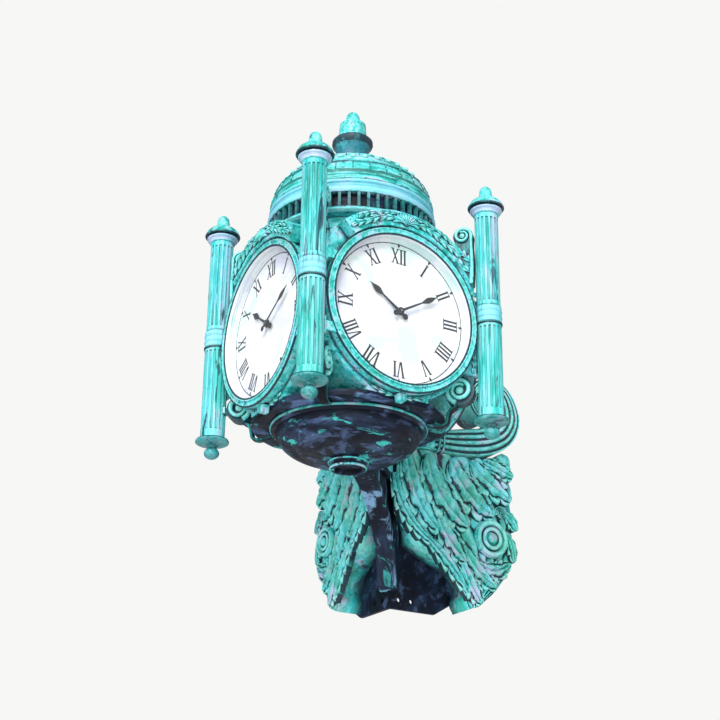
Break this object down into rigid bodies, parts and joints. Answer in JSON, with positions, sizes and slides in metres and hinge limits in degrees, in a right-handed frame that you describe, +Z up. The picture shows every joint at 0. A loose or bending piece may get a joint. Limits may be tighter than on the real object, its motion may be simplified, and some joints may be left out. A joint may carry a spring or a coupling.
{
  "type": "street clock",
  "caption": "Street clock with a dial on each side, a domed roof and corner columns, hung from a scrolled bracket on the outside corner of a building.",
  "frame": {"origin": "on the building's outside corner edge, halfway between the upper and lower wall bolts", "axes": "+Z up; the plane Y = 0 is one wall's face (for X > 0) and the plane X = 0 is the other's (for Y > 0); +Y points into the first wall and +X into the second, and the clock stands out towards -X and -Y"},
  "size_m": [3.077, 2.7026, 3.852],
  "materials": {
    "verdigris": "weathered green patina with dark hollows and pale ridges",
    "dark_bronze": "near-black blue-green patina",
    "dial_white": "opal white, satin",
    "glass": "clear",
    "hand_black": "black paint",
    "brass_works": "satin",
    "steel": "brushed",
    "iron_frame": "painted dark grey",
    "lamp": "matte white"
  },
  "bodies": {
    "clock": {"corner_shoe": "dark_bronze", "spine_arm": "dark_bronze", "wing_right": "verdigris", "wing_left": "verdigris", "scroll_right": "verdigris", "scroll_left": "verdigris", "base_frame": "dark_bronze", "corner_niches": "verdigris", "bowl": "dark_bronze", "bowl_pendant": "dark_bronze", "movement_case": "iron_frame", "bevel_frame": "iron_frame", "column_front_left": "verdigris", "column_front_right": "verdigris", "column_rear_right": "verdigris", "column_rear_left": "verdigris", "column_caps": "verdigris", "column_feet": "verdigris", "roof_vault": "verdigris", "vent_drum": "verdigris", "dome": "verdigris", "finial": "verdigris", "upper_scrolls": "verdigris", "lower_scrolls": "verdigris", "dials": "dial_white", "motion_frames": "iron_frame", "lamp_battens": "lamp", "hinge_pins": "brass_works", "face_panel_front": "verdigris", "face_panel_right": "verdigris", "face_panel_rear": "verdigris", "face_panel_left": "verdigris"},
    "door_front": {"bezel_front": "verdigris", "glass_front": "glass"},
    "door_right": {"bezel_right": "verdigris", "glass_right": "glass"},
    "door_rear": {"bezel_rear": "verdigris", "glass_rear": "glass"},
    "door_left": {"bezel_left": "verdigris", "glass_left": "glass"},
    "drive": {"drive_shaft": "steel"},
    "minute_front": {"minute_arbor_front": "steel", "minute_hand_front": "hand_black"},
    "hour_front": {"hour_pipe_front": "brass_works", "hour_hand_front": "hand_black"},
    "idler_front": {"idler_front": "brass_works"},
    "minute_right": {"minute_arbor_right": "steel", "minute_hand_right": "hand_black"},
    "hour_right": {"hour_pipe_right": "brass_works", "hour_hand_right": "hand_black"},
    "idler_right": {"idler_right": "brass_works"},
    "minute_rear": {"minute_arbor_rear": "steel", "minute_hand_rear": "hand_black"},
    "hour_rear": {"hour_pipe_rear": "brass_works", "hour_hand_rear": "hand_black"},
    "idler_rear": {"idler_rear": "brass_works"},
    "minute_left": {"minute_arbor_left": "steel", "minute_hand_left": "hand_black"},
    "hour_left": {"hour_pipe_left": "brass_works", "hour_hand_left": "hand_black"},
    "idler_left": {"idler_left": "brass_works"}
  },
  "joints": [
    {"name": "door_front_hinge", "type": "hinge", "parent": "clock", "child": "door_front", "pos_m": [-1.664, -1.782, 0.915], "axis": [0, 0, -1], "range_deg": [0, 95]},
    {"name": "door_right_hinge", "type": "hinge", "parent": "clock", "child": "door_right", "pos_m": [-0.218, -1.664, 0.915], "axis": [0, 0, -1], "range_deg": [0, 95]},
    {"name": "door_rear_hinge", "type": "hinge", "parent": "clock", "child": "door_rear", "pos_m": [-1.664, -0.218, 0.915], "axis": [0, 0, 1], "range_deg": [0, 95]},
    {"name": "door_left_hinge", "type": "hinge", "parent": "clock", "child": "door_left", "pos_m": [-1.782, -1.664, 0.915], "axis": [0, 0, 1], "range_deg": [0, 95]},
    {"name": "drive_spin", "type": "hinge", "parent": "clock", "child": "drive", "pos_m": [-1, -1, 0.7], "axis": [0, 0, 1], "continuous": true},
    {"name": "minute_front_spin", "type": "hinge", "parent": "clock", "child": "minute_front", "pos_m": [-1, -1.7, 0.915], "axis": [0, -1, 0], "continuous": true},
    {"name": "hour_front_spin", "type": "hinge", "parent": "clock", "child": "hour_front", "pos_m": [-1, -1.7, 0.915], "axis": [0, -1, 0], "continuous": true},
    {"name": "idler_front_spin", "type": "hinge", "parent": "clock", "child": "idler_front", "pos_m": [-1, -1.65, 0.855], "axis": [0, -1, 0], "continuous": true},
    {"name": "minute_right_spin", "type": "hinge", "parent": "clock", "child": "minute_right", "pos_m": [-0.3, -1, 0.915], "axis": [1, 0, 0], "continuous": true},
    {"name": "hour_right_spin", "type": "hinge", "parent": "clock", "child": "hour_right", "pos_m": [-0.3, -1, 0.915], "axis": [1, 0, 0], "continuous": true},
    {"name": "idler_right_spin", "type": "hinge", "parent": "clock", "child": "idler_right", "pos_m": [-0.35, -1, 0.855], "axis": [1, 0, 0], "continuous": true},
    {"name": "minute_rear_spin", "type": "hinge", "parent": "clock", "child": "minute_rear", "pos_m": [-1, -0.3, 0.915], "axis": [0, 1, 0], "continuous": true},
    {"name": "hour_rear_spin", "type": "hinge", "parent": "clock", "child": "hour_rear", "pos_m": [-1, -0.3, 0.915], "axis": [0, 1, 0], "continuous": true},
    {"name": "idler_rear_spin", "type": "hinge", "parent": "clock", "child": "idler_rear", "pos_m": [-1, -0.35, 0.855], "axis": [0, 1, 0], "continuous": true},
    {"name": "minute_left_spin", "type": "hinge", "parent": "clock", "child": "minute_left", "pos_m": [-1.7, -1, 0.915], "axis": [-1, 0, 0], "continuous": true},
    {"name": "hour_left_spin", "type": "hinge", "parent": "clock", "child": "hour_left", "pos_m": [-1.7, -1, 0.915], "axis": [-1, 0, 0], "continuous": true},
    {"name": "idler_left_spin", "type": "hinge", "parent": "clock", "child": "idler_left", "pos_m": [-1.65, -1, 0.855], "axis": [-1, 0, 0], "continuous": true}
  ],
  "couplings": [
    {"joint": "minute_front_spin", "follows": "drive_spin", "ratio": 2},
    {"joint": "hour_front_spin", "follows": "drive_spin", "ratio": 0.16667},
    {"joint": "idler_front_spin", "follows": "drive_spin", "ratio": -0.66667},
    {"joint": "minute_right_spin", "follows": "drive_spin", "ratio": 2},
    {"joint": "hour_right_spin", "follows": "drive_spin", "ratio": 0.16667},
    {"joint": "idler_right_spin", "follows": "drive_spin", "ratio": -0.66667},
    {"joint": "minute_rear_spin", "follows": "drive_spin", "ratio": 2},
    {"joint": "hour_rear_spin", "follows": "drive_spin", "ratio": 0.16667},
    {"joint": "idler_rear_spin", "follows": "drive_spin", "ratio": -0.66667},
    {"joint": "minute_left_spin", "follows": "drive_spin", "ratio": 2},
    {"joint": "hour_left_spin", "follows": "drive_spin", "ratio": 0.16667},
    {"joint": "idler_left_spin", "follows": "drive_spin", "ratio": -0.66667}
  ]
}
